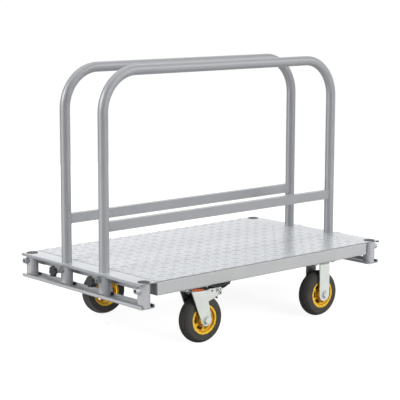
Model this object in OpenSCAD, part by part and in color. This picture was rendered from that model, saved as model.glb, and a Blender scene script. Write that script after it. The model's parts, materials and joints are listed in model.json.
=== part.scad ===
// Panel cart for building boards: a tread deck on four casters, with two hoops that lift out of sockets.
// X runs along the deck, with the swivel casters at the -X (rear) end and the fixed ones at +X (front).
// The right side is -Y and the left side +Y. Z is up from the floor, and sizes are in millimetres.

/* [Deck] */
// Length of the tread sheet
tread_len = 914; // [800:1:1200]
// Width of the deck over its side channels
deck_w = 610; // [560:1:760]
// Thickness of the tread sheet
tread_t = 2; // [1:0.5:4]
// Height of the side and cross channels
rail_h = 41; // [34:1:60]
// Flange width of the side channels
rail_flange = 38; // [34:1:46]
// Flange width of the cross channels
cross_flange = 32; // [28:1:40]
// Sheet thickness of the side and cross channels
rail_t = 2.5; // [1.5:0.25:3]
// Outside bend radius of the side and cross channels
rail_bend = 3.5; // [3.25:0.25:6]

/* [End frames] */
// Width of the top rail
top_rail_w = 65; // [58:1:80]
// Depth of the top rail's lips
top_lip = 8; // [6:1:13]
// Width of the bottom rail
bottom_rail_w = 53; // [50:1:56]
// Depth of the bottom rail's lips
bottom_lip = 11; // [8:1:16]
// Height of an end frame, from the deck's top to the bottom rail's underside
end_h = 78; // [72:1:110]
// Sheet thickness of the rails
end_t = 3; // [2:0.25:4]
// Outside bend radius of the rails
end_bend = 4.5; // [4.25:0.25:6]
// Distance of the sockets from the tread sheet's end
socket_inset = 36; // [33:0.5:38]
// Outside diameter of the sockets
socket_od = 38; // [37:0.1:42]
// Gap between the corner sockets and the ends of the rails
corner_edge = 0.5; // [0:0.5:12]

/* [Hoops] */
// Outside diameter of the hoop tube
hoop_d = 32; // [25:0.1:33]
// Wall of the hoop tube
hoop_t = 2; // [1.5:0.1:3]
// Radial clearance of the tube in its socket
socket_clear = 0.4; // [0.3:0.05:0.6]
// Height of the top bar's centre line above the deck
hoop_h = 604; // [450:1:900]
// Bend radius of the hoop's centre line
hoop_bend = 125; // [70:1:200]
// Distance between the two hoops
hoop_gap = 192; // [140:1:260]
// Height of the crossbar's middle above the deck
crossbar_z = 137; // [60:1:300]
// Depth of the crossbar
crossbar_w = 20; // [12:0.5:25]
// Height of the crossbar
crossbar_h = 30; // [20:0.5:50]
// Wall of the crossbar
crossbar_t = 2; // [1.5:0.1:3]

/* [Clamp screws] */
// Depth of the screws' axis below the deck's top
screw_depth = 23; // [22.5:0.5:30]
// Diameter of the screws
screw_d = 10; // [8:0.5:12]
// Width across the flats of the weld nuts
nut_af = 17; // [16:0.5:18]
// Length of the weld nuts
nut_len = 14; // [8:0.5:18]
// Gap between a weld nut and its knob
knob_stand = 9; // [8:0.5:14]
// Diameter of the star knob
knob_d = 36; // [32:1:46]
// Thickness of the star knob's head
knob_t = 11; // [9:0.5:16]
// Lobes of the star knob
knob_lobes = 7; // [5:1:8]
// Depth of the scallops between the lobes
knob_scallop = 5; // [3:0.25:6]
// Diameter of the star knob's neck
knob_neck_d = 18; // [15:0.5:22]
// Length of the star knob's neck
knob_neck = 5; // [3:0.5:10]

/* [Socket plugs] */
// Height of the plug's head
plug_head = 1.2; // [1.2:0.1:5]
// Depth of the plug's stem
plug_stem = 15; // [8:1:16]
// Wall of the plug's stem
plug_wall = 2.5; // [1.5:0.1:4]

/* [Casters] */
// Distance of the casters' middle from the tread sheet's ends
caster_end = 174; // [160:1:200]
// Distance of the casters' middle from the deck's sides
caster_inset = 58; // [55:0.5:65]
// Length of the caster plates
plate_l = 105; // [100:1:115]
// Width of the caster plates
plate_w = 85; // [80:1:95]
// Thickness of the caster plates
plate_t = 5; // [3:0.5:8]
// Corner radius of the caster plates
plate_r = 9; // [4:0.5:11]
// Bolt spacing along the deck
bolt_x = 80; // [76:1:84]
// Bolt spacing across the deck
bolt_y = 60; // [58:1:64]
// Diameter of the plate bolts
bolt_d = 8; // [6:0.5:8]
// Width of the forks over their legs
fork_w = 66; // [62:1:68]
// Sheet thickness of the forks
fork_t = 4; // [3:0.25:5]
// Outside bend radius of the forks
fork_bend = 10; // [7:0.5:12]
// Gap between a tyre's top and the fork
fork_clear = 20; // [16:0.5:30]
// Width of a fixed fork's legs
fixed_leg_w = 45; // [36:1:56]
// Radius of a swivel fork's leg ends
leg_end_r = 19; // [15:0.5:22]
// Leading edge of a swivel fork's leg, ahead of the kingpin
leg_lead = 17; // [12:0.5:24]
// Trailing edge of a swivel fork's leg, behind the kingpin
leg_back = 41; // [34:0.5:46]
// Distance of the swivel casters' axle behind the kingpin
trail = 42; // [36:0.5:46]
// Gap between a swivel plate and its fork, filled by the ball race
swivel_gap = 9; // [7:0.25:12]
// Diameter of the kingpins
kingpin_d = 14; // [10:0.5:18]
// Turn of the right swivel caster
right_swivel = -3; // [-180:1:180]
// Turn of the left swivel caster
left_swivel = -10; // [-180:1:180]

/* [Wheels] */
// Diameter of the wheels
wheel_d = 152; // [140:1:200]
// Width of the tyres
tyre_w = 46; // [38:0.5:48]
// Radius of the tyres' rounded crown
crown_r = 29; // [26:0.5:60]
// Thickness of the tyres on their hubs
tyre_t = 29; // [24:0.5:30]
// Grooves around the tyres
tyre_grooves = 4; // [0:2:6]
// Width of the hub's rim
rim_w = 44; // [32:0.5:45]
// Thickness of the hub's rim
rim_t = 7; // [4:0.5:9]
// Width of the hub's web
web_t = 30; // [12:0.5:32]
// Part of the web's height that is left on each side of its windows
window_margin = 0.25; // [0.15:0.01:0.35]
// Diameter of the hub's boss
boss_d = 36; // [28:0.5:40]
// Width of the hub's boss
boss_w = 53; // [44:0.5:56]
// Spokes of the hub
spokes = 6; // [4:1:8]
// Width of the spokes between the windows
spoke_w = 6; // [5:0.5:14]
// Diameter of the axle sleeves
sleeve_d = 17; // [15:0.5:20]
// Diameter of the axle bolts
axle_d = 12; // [10:0.5:12]
// Diameter of the axle bolts' washers
washer_d = 25; // [22:0.5:30]

/* [Brakes] */
// Sheet thickness of the brake cheeks
cheek_t = 3; // [2:0.25:3.5]
// Diameter of the brake pins
pin_d = 8; // [6:0.5:9]
// Distance of the pedal's pin from the tyre's trailing edge
pedal_inset = 30; // [26:0.5:34]
// Distance of the pedal's tip behind the kingpin
pedal_reach = 154; // [145:1:170]
// Width of the pedal
pedal_w = 52; // [48:1:60]
// Thickness of the pedal's plate
pedal_t = 3.5; // [3:0.25:4.5]
// Distance between the pins of the lock arm and the pedal
lock_step = 22; // [20:0.5:24]
// Thickness of the lock arm's side plates
lock_t = 3; // [2:0.25:4]
// Width of the brake shoe
shoe_w = 38; // [24:1:40]
// Gap between the brake shoe's nose and the tyre
shoe_gap = 3.6; // [3.5:0.1:6]

/* [Hidden] */
$fn = 64;

// Signs of the sides and ends
right = -1;
left = 1;
rear = -1;
front = 1;
both = [-1, 1];

// Clearances: turning fits, bolt holes, and faces that stay just apart
run_clear = 0.05;
bolt_clear = 0.5;
touch = 0.3;
// Overlap of a cut past the face it opens, and depth of a weld into the piece that it joins
cut = 1;
weld = 0.5;

// Heights above the floor
axle_z = wheel_d / 2;
fork_under = wheel_d + fork_clear;
fork_top = fork_under + fork_t;
plate_under = fork_top + swivel_gap;
caster_h = plate_under + plate_t;
channel_mid = caster_h + rail_h / 2;
rail_top = caster_h + rail_h;
deck_top = rail_top + tread_t;
end_bottom = deck_top - end_h;
socket_foot = end_bottom + end_t;
socket_head = deck_top - end_t;
screw_z = deck_top - screw_depth;

// Sockets
socket_x = tread_len / 2 + socket_inset;
socket_id = hoop_d + 2 * socket_clear;
corner_y = deck_w / 2 - socket_od / 2 - corner_edge;
hoop_y = hoop_gap / 2;
socket_ys = [-corner_y, -hoop_y, hoop_y, corner_y];

// Hoops
hoop_top = deck_top + hoop_h;
bend_x = socket_x - hoop_bend;
bend_z = hoop_top - hoop_bend;

// Clamp screws: distances from the socket's axis
screw_tip = hoop_d / 2 + touch;
nut_face = socket_od / 2 + nut_len;
knob_face = nut_face + knob_stand;
screw_end = knob_face + knob_neck + knob_t / 2;
screw_point = 2;
scallop_r = knob_d * 0.15;
scallop_x = knob_d / 2 + scallop_r - knob_scallop;
knob_edge = 3;

// Socket plugs
plug_d = socket_od - 2 * touch;
plug_dome = 0.6;

// Places of the casters and of their plate bolts
caster_x = tread_len / 2 - caster_end;
caster_y = deck_w / 2 - caster_inset;
bolt_head = bolt_d * 0.65;
bolt_af = bolt_d * 1.625;
bolt_nut = bolt_d * 0.8;
bolt_tail = bolt_d * 0.25;
bolt_spots = [for (x = both, y = both, dx = both, dy = both)
    [x * caster_x + dx * bolt_x / 2, y * caster_y + dy * bolt_y / 2]];
caster_webs = [for (x = both, dx = both)
    [x * caster_x + dx * (bolt_x / 2 + cross_flange / 2), -dx]];

// Forks and axles
fork_gap = fork_w - 2 * fork_t;
fork_blank = 4 * leg_back;
axle_head = axle_d * 0.62;
axle_nut = axle_d * 0.8;
axle_af = axle_d * 1.5;
axle_tail = 4;
washer_t = 2;

// Wheels: the windows take the middle of the web, and end in half circles
rim_d = wheel_d - 2 * tyre_t;
groove_r = 1.3;
web_in = boss_d / 2;
web_out = rim_d / 2 - rim_t;
window_mid = (web_in + web_out) / 2;
window_h = (web_out - web_in) * (1 - 2 * window_margin);
window_turn = 180 / spokes - asin((spoke_w + window_h) / (2 * window_mid));

// Swivel bearings
ball_r = swivel_gap / 2 - touch;
ball_ring = 24;
balls = 14;
race_r = fork_w / 2;
race_t = 2.5;
race_lift = 2;
race_h = swivel_gap - race_lift;
race_teeth = 18;
race_notch = [5, 3.5];
kingpin_head = 8;
kingpin_head_d = kingpin_d + 8;
kingpin_nut = 10;
kingpin_af = kingpin_d * 1.57;
kingpin_tail = 3;

// Brakes: places in the plane of the fork's legs, x behind the kingpin and z above the floor
pin_head = 2;
pin_head_d = pin_d + 4;
pin_bore = pin_d - 2;
pin_drop = 8;
pedal_pin = [trail + wheel_d / 2 - pedal_inset, fork_under - pin_drop];
lock_pin = pedal_pin - [lock_step, 0];
shoe_step = [10, -10];
spring_step = [10.5, 1.5];
shoe_pin = pedal_pin + shoe_step;
spring_hole = pedal_pin + spring_step;
spring_hole_d = 4.5;
cheek_out = fork_gap / 2;
cheek_in = cheek_out - cheek_t;
cheek_root = 28;
cheek_margin = 7;
cheek_rise = 7.5;
cheek_notch = 5;
cheek_slot = 13.5;
cheek_corner = 4;
cheek_depth = 20.5;
cheek_left = leg_back + cheek_notch;
cheek_top = pedal_pin[1] + cheek_rise;
cheek_end = shoe_pin[0] + cheek_margin;
lug_t = 4;
lug_out = cheek_in - 2 * touch;
lug_r = pin_d / 2 + 4;
lug_w = 2 * lug_r + 2;
pedal_root = lock_pin[0] - pin_d / 4;
pedal_lift = 3.5;
pedal_under = cheek_top + pedal_lift;
lug_h = pedal_under + pedal_t / 2 - pedal_pin[1];
pedal_drop = 3;
pedal_edge = 6;
pedal_tip_r = pedal_t / 2;
pedal_knee = pedal_reach - pedal_w / 2;
pedal_lip = 3.5;
tread_ribs = 5;
tread_rib = 1.2;
lock_in = race_r + 1;
lock_out = lock_in + lock_t;
lock_boss = pin_d / 2 + 3.5;
lock_tip_h = 5.5;
lock_clear = 4;
lock_knee_step = [7, 8.5];
lock_tip = [-leg_lead, plate_under - lock_clear - lock_tip_h / 2];
lock_knee = [leg_back, plate_under] - lock_knee_step;
lock_crank = [8, 4.5];
bridge_gap = 1.5;
bridge_size = [6.5, 4];
lock_bridge = [leg_back + bridge_gap, lock_knee[1] - bridge_size[1]];
shoe_hub = pin_d / 2 + 3.5;
shoe_tip_angle = 46;
shoe_heel_angle = 57;
shoe_heel_lift = 1.4;
shoe_tooth = [2.7, 11.7];
shoe_valley = [-2.5, 6.5];

// Colours
paint = [0.62, 0.63, 0.65];
tread_silver = [0.85, 0.86, 0.87];
rail_silver = [0.76, 0.76, 0.74];
zinc = [0.86, 0.88, 0.86];
steel = [0.55, 0.56, 0.57];
black = [0.13, 0.13, 0.14];
rubber = [0.17, 0.17, 0.16];
yellow = [0.98, 0.74, 0.16];
orange = [0.86, 0.34, 0.18];

// Point where the tangent from p touches the circle round c; side picks one of the two
function tangent(p, c, r, side) =
    let (d = p - c, reach = norm(d), turn = atan2(d[1], d[0]) + side * acos(r / reach))
    c + r * [cos(turn), sin(turn)];

// Bent channel in section, open downwards, with its back on the X axis
module channel_section(w, h, t, bend) {
    difference() {
        union() {
            translate([-w / 2, -h]) square([w, h - bend]);
            translate([bend - w / 2, -h]) square([w - 2 * bend, h]);
            for (x = both) translate([x * (w / 2 - bend), -bend]) circle(bend);
        }
        translate([t - w / 2, -h - cut]) square([w - 2 * t, h - bend + cut]);
        translate([bend - w / 2, -h - cut]) square([w - 2 * bend, h - t + cut]);
        for (x = both) translate([x * (w / 2 - bend), -bend]) circle(bend - t);
    }
}

module rounded_plate(l, w, r) {
    square([l - 2 * r, w], center = true);
    square([l, w - 2 * r], center = true);
    for (x = both, y = both) translate([x * (l / 2 - r), y * (w / 2 - r)]) circle(r);
}

// Outline in the X-Z plane, extruded across Y between two distances from its middle
module across(y_in, y_out) {
    for (y = both)
        translate([0, y * (y_in + y_out) / 2, 0]) rotate([90, 0, 0])
            linear_extrude(y_out - y_in, center = true) children();
}

module across_whole(w) {
    rotate([90, 0, 0]) linear_extrude(w, center = true) children();
}

module hexagon(af, h) {
    cylinder(d = af / cos(30), h = h, $fn = 6);
}

// Deck

module tread_sheet() {
    color(tread_silver)
        translate([-tread_len / 2, -deck_w / 2, rail_top]) cube([tread_len, deck_w, tread_t]);
}

module bolt_holes(z, t) {
    for (p = bolt_spots)
        translate([p[0], p[1], z - cut]) cylinder(d = bolt_d + 2 * bolt_clear, h = t + 2 * cut);
}

module side_channel(side) {
    color(rail_silver) difference() {
        translate([0, side * deck_w / 2, channel_mid]) rotate([90, 0, 90])
            linear_extrude(tread_len, center = true) rotate(-90 * side)
                channel_section(rail_h, rail_flange, rail_t, rail_bend);
        bolt_holes(caster_h, rail_t);
    }
}

// Channel across the deck, between the side channels' flanges
module cross_channel(web_x, dir) {
    translate([web_x, 0, channel_mid]) across_whole(deck_w - 2 * rail_flange)
        rotate(90 * dir) channel_section(rail_h, cross_flange, rail_t, rail_bend);
}

// Tongue of a cross channel's web, which runs on to the side channels' webs
module web_tongue(web_x, dir) {
    translate([dir > 0 ? web_x : web_x - rail_t, rail_t - deck_w / 2, caster_h + rail_bend])
        cube([rail_t, deck_w - 2 * rail_t, rail_h - 2 * rail_bend]);
}

module deck_end(end) {
    color(rail_silver) {
        cross_channel(end * tread_len / 2, -end);
        web_tongue(end * tread_len / 2, -end);
    }
}

module caster_channels() {
    color(rail_silver) difference() {
        for (web = caster_webs) {
            cross_channel(web[0], web[1]);
            web_tongue(web[0], web[1]);
        }
        bolt_holes(caster_h, rail_t);
    }
}

// End frames

module top_rail(end) {
    color(tread_silver) difference() {
        translate([end * (tread_len + top_rail_w) / 2, 0, deck_top]) across_whole(deck_w)
            channel_section(top_rail_w, top_lip, end_t, end_bend);
        for (y = socket_ys)
            translate([end * socket_x, y, socket_head - cut]) cylinder(d = socket_id, h = end_t + 2 * cut);
    }
}

module bottom_rail(end) {
    color(rail_silver)
        translate([end * socket_x, 0, end_bottom]) across_whole(deck_w)
            rotate(180) channel_section(bottom_rail_w, bottom_lip, end_t, end_bend);
}

// Frame of a clamp screw: Z runs outwards from the socket's axis
module at_screw(end, y) {
    translate([end * socket_x, y, screw_z]) rotate([0, end * 90, 0]) rotate(30) children();
}

module sockets(end) {
    color(rail_silver) for (y = socket_ys)
        difference() {
            translate([end * socket_x, y, socket_foot])
                cylinder(d = socket_od, h = socket_head - socket_foot);
            translate([end * socket_x, y, socket_foot - cut]) cylinder(d = socket_id, h = end_h);
            at_screw(end, y) cylinder(d = screw_d + 2 * bolt_clear, h = socket_od);
        }
}

module weld_nuts() {
    color(rail_silver) for (end = both, y = socket_ys)
        difference() {
            at_screw(end, y) hexagon(nut_af, nut_face);
            translate([end * socket_x, y, socket_foot]) cylinder(d = socket_od, h = end_h);
            at_screw(end, y) cylinder(d = screw_d + 2 * run_clear, h = nut_face + cut);
        }
}

module clamp_screw(end, side) {
    color(zinc) at_screw(end, side * hoop_y) {
        translate([0, 0, screw_tip]) cylinder(d = screw_d - 2 * screw_point, h = screw_point);
        translate([0, 0, screw_tip + screw_point])
            cylinder(d = screw_d, h = screw_end - screw_tip - screw_point);
    }
}

// Star knob: a turned head with rounded edges, scalloped into lobes
module star_knob(end, side) {
    color(black) at_screw(end, side * hoop_y) translate([0, 0, knob_face])
        difference() {
            union() {
                cylinder(d = knob_neck_d, h = knob_neck + cut);
                translate([0, 0, knob_neck]) difference() {
                    rotate_extrude() knob_half();
                    for (i = [0 : knob_lobes - 1])
                        rotate(i * 360 / knob_lobes) translate([scallop_x, 0, -cut])
                            cylinder(r = scallop_r, h = knob_t + 2 * cut);
                }
            }
            translate([0, 0, -cut])
                cylinder(d = screw_d + 2 * run_clear, h = screw_end - knob_face + touch + cut);
        }
}

module knob_half() {
    square([knob_d / 2 - knob_edge, knob_t]);
    translate([0, knob_edge]) square([knob_d / 2, knob_t - 2 * knob_edge]);
    for (y = [knob_edge, knob_t - knob_edge]) translate([knob_d / 2 - knob_edge, y]) circle(knob_edge);
}

module socket_plug(end, side) {
    color(black) translate([end * socket_x, side * corner_y, deck_top]) {
        rotate_extrude() {
            square([plug_d / 2, plug_head - plug_dome]);
            square([plug_d / 2 - plug_dome, plug_head]);
            translate([plug_d / 2 - plug_dome, plug_head - plug_dome]) circle(plug_dome);
        }
        translate([0, 0, -plug_stem]) difference() {
            cylinder(d = hoop_d, h = plug_stem + plug_head / 2);
            translate([0, 0, -cut]) cylinder(d = hoop_d - 2 * plug_wall, h = plug_stem + cut);
        }
    }
}

// Hoops

// Solid bar along the hoop's line, with its feet lengthened by more
module hoop_bar(r, more) {
    for (x = both) translate([x * socket_x, 0, socket_foot - more])
        cylinder(r = r, h = bend_z - socket_foot + more);
    translate([-bend_x, 0, hoop_top]) rotate([0, 90, 0]) cylinder(r = r, h = 2 * bend_x);
    for (x = both) translate([x * bend_x, 0, bend_z])
        rotate([90, 0, 0]) rotate(x > 0 ? 0 : 90)
            rotate_extrude(angle = 90) translate([hoop_bend, 0]) circle(r);
}

module hoop_tube(side) {
    color(paint) translate([0, side * hoop_y, 0]) difference() {
        hoop_bar(hoop_d / 2, 0);
        hoop_bar(hoop_d / 2 - hoop_t, cut);
    }
}

module hoop_crossbar(side) {
    color(paint) translate([0, side * hoop_y, deck_top + crossbar_z]) difference() {
        cube([2 * socket_x, crossbar_w, crossbar_h], center = true);
        cube([2 * socket_x + cut, crossbar_w - 2 * crossbar_t, crossbar_h - 2 * crossbar_t], center = true);
        for (x = both) translate([x * socket_x, 0, -crossbar_h]) cylinder(d = hoop_d, h = 2 * crossbar_h);
    }
}

// Casters

module caster_bolts() {
    color(zinc) for (p = bolt_spots) translate([p[0], p[1], plate_under]) {
        translate([0, 0, -bolt_head]) hexagon(bolt_af, bolt_head);
        cylinder(d = bolt_d, h = plate_t + rail_t + bolt_nut + bolt_tail);
    }
}

module caster_nuts() {
    color(zinc) for (p = bolt_spots) translate([p[0], p[1], caster_h + rail_t])
        difference() {
            hexagon(bolt_af, bolt_nut);
            translate([0, 0, -cut]) cylinder(d = bolt_d + 2 * run_clear, h = bolt_nut + 2 * cut);
        }
}

module caster_plate() {
    translate([0, 0, plate_under]) difference() {
        linear_extrude(plate_t) rounded_plate(plate_l, plate_w, plate_r);
        for (x = both, y = both) translate([x * bolt_x / 2, y * bolt_y / 2, -cut])
            cylinder(d = bolt_d + 2 * bolt_clear, h = plate_t + 2 * cut);
    }
}

// Sheet bent into an inverted U over the wheel, cut to the outline of the legs
module bent_fork(top) {
    intersection() {
        rotate([90, 0, 90]) linear_extrude(fork_blank, center = true) translate([0, top])
            channel_section(fork_w, top, fork_t, fork_bend);
        across_whole(fork_w + cut) children();
    }
}

module axle_hole(x) {
    translate([x, 0, axle_z]) across_whole(fork_w + cut) circle(d = axle_d + 2 * run_clear);
}

module at_fixed(side) {
    translate([caster_x, side * caster_y, 0]) children();
}

module fixed_fork(side) {
    color(zinc) at_fixed(side) {
        caster_plate();
        difference() {
            bent_fork(plate_under + weld) {
                translate([-fixed_leg_w / 2, axle_z]) square([fixed_leg_w, plate_under + weld - axle_z]);
                translate([0, axle_z]) circle(d = fixed_leg_w);
            }
            axle_hole(0);
        }
    }
}

module at_plate(side) {
    translate([-caster_x, side * caster_y, 0]) children();
}

module at_swivel(side) {
    at_plate(side) rotate(side == right ? right_swivel : left_swivel) children();
}

module swivel_plate(side) {
    color(zinc) at_plate(side) difference() {
        caster_plate();
        translate([0, 0, plate_under - cut]) cylinder(d = kingpin_d + 2 * run_clear, h = plate_t + 2 * cut);
    }
}

// Rings that hang from the swivel plates, keep the balls in and have notches for the lock
module race_rings() {
    color(zinc) for (side = both) at_plate(side) translate([0, 0, fork_top + race_lift]) difference() {
        cylinder(r = race_r, h = race_h);
        translate([0, 0, -cut]) cylinder(r = race_r - race_t, h = race_h + 2 * cut);
        for (i = [1 : race_teeth]) rotate(i * 360 / race_teeth) translate([race_r, 0, 0])
            cube([4 * race_t, race_notch[0], 2 * race_notch[1]], center = true);
    }
}

module kingpins() {
    color(steel) for (side = both) at_plate(side) {
        translate([0, 0, caster_h]) cylinder(d = kingpin_head_d, h = kingpin_head);
        translate([0, 0, fork_under - touch - kingpin_nut - kingpin_tail])
            cylinder(d = kingpin_d, h = caster_h - fork_under + touch + kingpin_nut + kingpin_tail);
        translate([0, 0, fork_under - touch - kingpin_nut]) hexagon(kingpin_af, kingpin_nut);
    }
}

module swivel_balls() {
    color(steel) for (side = both, i = [0 : balls - 1]) at_plate(side)
        rotate(i * 360 / balls) translate([ball_ring, 0, fork_top + swivel_gap / 2]) sphere(ball_r);
}

// Legs that sweep back from the crown to the axle, between tangents to the leg ends
module swivel_legs() {
    lead = [-leg_lead, fork_top];
    back = [leg_back, fork_under];
    axle = [trail, axle_z];
    polygon([lead, [leg_back, fork_top], back, tangent(back, axle, leg_end_r, -1), axle,
        tangent(lead, axle, leg_end_r, 1)]);
    translate(axle) circle(leg_end_r);
}

module swivel_fork(side) {
    color(zinc) at_swivel(side) difference() {
        union() {
            bent_fork(fork_top) swivel_legs();
            translate([0, 0, fork_under]) cylinder(r = fork_w / 2, h = fork_t);
        }
        axle_hole(trail);
        translate([0, 0, fork_under - cut]) cylinder(d = kingpin_d + 2 * run_clear, h = fork_t + 2 * cut);
    }
}

// Axle bolt, nut, washers and the sleeve that they clamp between the legs; the head is on the outer side
module axle_set(side) {
    seat = fork_w / 2 + washer_t;
    translate([0, 0, axle_z]) rotate([-side * 90, 0, 0]) {
        translate([0, 0, -seat - axle_nut - axle_tail])
            cylinder(d = axle_d, h = 2 * seat + axle_nut + axle_tail);
        translate([0, 0, seat]) hexagon(axle_af, axle_head);
        translate([0, 0, -seat - axle_nut]) difference() {
            hexagon(axle_af, axle_nut);
            translate([0, 0, -cut]) cylinder(d = axle_d + 2 * run_clear, h = axle_nut + 2 * cut);
        }
        for (z = [fork_w / 2, -seat]) translate([0, 0, z]) difference() {
            cylinder(d = washer_d, h = washer_t);
            translate([0, 0, -cut]) cylinder(d = axle_d + 2 * run_clear, h = washer_t + 2 * cut);
        }
        difference() {
            cylinder(d = sleeve_d, h = fork_gap, center = true);
            cylinder(d = axle_d + 2 * run_clear, h = fork_gap + cut, center = true);
        }
    }
}

module fixed_axles() {
    color(steel) for (side = both) at_fixed(side) axle_set(side);
}

module swivel_axle(side) {
    color(steel) at_swivel(side) translate([trail, 0, 0]) axle_set(side);
}

// Wheels

module at_axle() {
    translate([0, 0, axle_z]) rotate([90, 0, 0]) children();
}

// Half-round tyre with grooves around its crown
module tyre() {
    color(rubber) at_axle() rotate_extrude() difference() {
        intersection() {
            translate([rim_d / 2, -tyre_w / 2]) square([wheel_d, tyre_w]);
            translate([wheel_d / 2 - crown_r, 0]) circle(crown_r);
        }
        for (i = [1 : 1 : tyre_grooves]) let (y = tyre_w * (i / (tyre_grooves + 1) - 0.5))
            translate([wheel_d / 2 - crown_r + sqrt(crown_r * crown_r - y * y), y]) circle(groove_r);
    }
}

module hub() {
    bore_r = sleeve_d / 2 + run_clear;
    color(yellow) at_axle() difference() {
        rotate_extrude() {
            translate([web_out, -rim_w / 2]) square([rim_t, rim_w]);
            translate([bore_r, -web_t / 2]) square([web_out + rim_t / 2 - bore_r, web_t]);
            translate([bore_r, -boss_w / 2]) square([web_in - bore_r, boss_w]);
        }
        linear_extrude(web_t + cut, center = true)
            for (i = [1 : spokes]) rotate(i * 360 / spokes) hub_window();
    }
}

// Curved slot around the hub's axis
module hub_window() {
    end = window_mid * [cos(window_turn), sin(window_turn)];
    intersection() {
        difference() {
            circle(window_mid + window_h / 2);
            circle(window_mid - window_h / 2);
        }
        polygon([[0, 0], [2 * end[0], -2 * end[1]], 2 * end]);
    }
    for (y = both) translate([end[0], y * end[1]]) circle(d = window_h);
}

// Brakes

// Two cheeks welded inside the fork's legs, and the hollow pins of the pedal, the shoe and the lock arm
module brake_bracket(side) {
    foot = shoe_pin[1] - cheek_depth;
    color(zinc) at_swivel(side) {
        across(cheek_in, cheek_out) difference() {
            polygon([
                [cheek_root, cheek_top - cheek_slot], [cheek_left, cheek_top - cheek_slot],
                [cheek_left, cheek_top], [cheek_end - cheek_corner, cheek_top],
                [cheek_end, cheek_top - cheek_corner], [cheek_end, shoe_pin[1] - cheek_margin],
                shoe_pin - [cheek_margin, cheek_margin], [leg_back + 2 * cheek_margin, foot],
                [cheek_root, foot + cheek_margin]
            ]);
            for (p = [pedal_pin, shoe_pin, lock_pin]) translate(p) circle(d = pin_d + 2 * run_clear);
            translate(spring_hole) circle(d = spring_hole_d);
        }
        for (p = [pedal_pin, shoe_pin]) translate([p[0], 0, p[1]]) hollow_pin() {
            across_whole(2 * cheek_out) circle(d = pin_d);
            across(cheek_out, cheek_out + pin_head) circle(d = pin_head_d);
        }
        translate([lock_pin[0], 0, lock_pin[1]]) hollow_pin() across_whole(2 * cheek_out) circle(d = pin_d);
    }
}

module hollow_pin() {
    difference() {
        children();
        across_whole(fork_w) circle(d = pin_bore);
    }
}

// Lug on a pin between the cheeks, reaching up to two points
module pin_lug(pin, r, from, to) {
    across(lug_out - lug_t, lug_out) difference() {
        union() {
            translate(pin) circle(r);
            polygon([from, to, tangent(to, pin, r, -1), pin, tangent(from, pin, r, 1)]);
        }
        translate(pin) circle(d = pin_d + 2 * run_clear);
    }
}

// Pedal plate that dips to its round tip, ribbed on top, with a lip below and two lugs between the cheeks
module brake_pedal(side) {
    knee = [pedal_knee, pedal_under];
    tip = [pedal_reach - pedal_tip_r, pedal_under + pedal_tip_r - pedal_drop];
    flat = pedal_knee - pedal_root;
    color(black) at_swivel(side) {
        intersection() {
            across_whole(pedal_w) {
                translate([pedal_root, pedal_under]) square([flat, pedal_t]);
                polygon([knee, knee + [0, pedal_t], tip + [0, pedal_tip_r], tip - [0, pedal_tip_r]]);
                translate(tip) circle(pedal_tip_r);
            }
            linear_extrude(deck_top) {
                translate([pedal_root, -pedal_w / 2]) square([flat, pedal_w]);
                translate([pedal_knee, 0]) circle(d = pedal_w);
            }
        }
        translate([pedal_knee, 0, pedal_under]) across_whole(pedal_w - 2 * pedal_edge) circle(pedal_lip);
        for (i = [1 : tread_ribs])
            translate([pedal_root + flat * i / (tread_ribs + 1), 0, pedal_under + pedal_t])
                across_whole(pedal_w - 2 * pedal_edge) circle(tread_rib);
        pin_lug(pedal_pin, lug_r, pedal_pin + [-lug_w / 2, lug_h], pedal_pin + [lug_w / 2, lug_h]);
    }
}

// Two arms joined by a bridge behind the fork's crown, which reach under the plate beside the ball race
module lock_arm(side) {
    end = lock_bridge + bridge_size;
    color(orange) at_swivel(side) {
        across(lock_in, lock_out) {
            translate(lock_tip) circle(d = lock_tip_h);
            polygon([
                lock_tip - [0, lock_tip_h / 2], lock_tip + [0, lock_tip_h / 2], lock_knee, end,
                [end[0], lock_bridge[1]], lock_bridge, lock_knee - lock_crank
            ]);
        }
        across_whole(2 * lock_out) translate(lock_bridge) square(bridge_size);
        pin_lug(lock_pin, lock_boss, [lock_bridge[0], end[1]], end);
    }
}

// Hub on the pin, and a toothed foot that follows the tyre
module brake_shoe(side) {
    axle = [trail, axle_z];
    reach = axle_z + shoe_gap;
    tip = axle + reach * [cos(shoe_tip_angle), sin(shoe_tip_angle)];
    heel = axle + (reach + shoe_heel_lift) * [cos(shoe_heel_angle), sin(shoe_heel_angle)];
    color(black) at_swivel(side) across_whole(shoe_w) difference() {
        union() {
            translate(shoe_pin) circle(shoe_hub);
            polygon([
                tangent(heel, shoe_pin, shoe_hub, -1), heel, tip, tip + shoe_valley, tip + shoe_tooth,
                tangent(tip + shoe_tooth, shoe_pin, shoe_hub, 1), shoe_pin
            ]);
        }
        translate(shoe_pin) circle(d = pin_d + 2 * run_clear);
    }
}

tread_sheet();
side_channel(right);  // right_side_channel
side_channel(left);  // left_side_channel
deck_end(rear);  // rear_deck_end
deck_end(front);  // front_deck_end
caster_channels();
top_rail(rear);  // rear_top_rail
top_rail(front);  // front_top_rail
bottom_rail(rear);  // rear_bottom_rail
bottom_rail(front);  // front_bottom_rail
sockets(rear);  // rear_sockets
sockets(front);  // front_sockets
weld_nuts();
caster_bolts();
caster_nuts();
hoop_tube(right);  // right_hoop_tube
hoop_crossbar(right);  // right_hoop_crossbar
hoop_tube(left);  // left_hoop_tube
hoop_crossbar(left);  // left_hoop_crossbar
clamp_screw(rear, right);  // rear_right_screw
clamp_screw(rear, left);  // rear_left_screw
clamp_screw(front, right);  // front_right_screw
clamp_screw(front, left);  // front_left_screw
star_knob(rear, right);  // rear_right_knob
star_knob(rear, left);  // rear_left_knob
star_knob(front, right);  // front_right_knob
star_knob(front, left);  // front_left_knob
socket_plug(rear, right);  // rear_right_plug
socket_plug(rear, left);  // rear_left_plug
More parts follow.
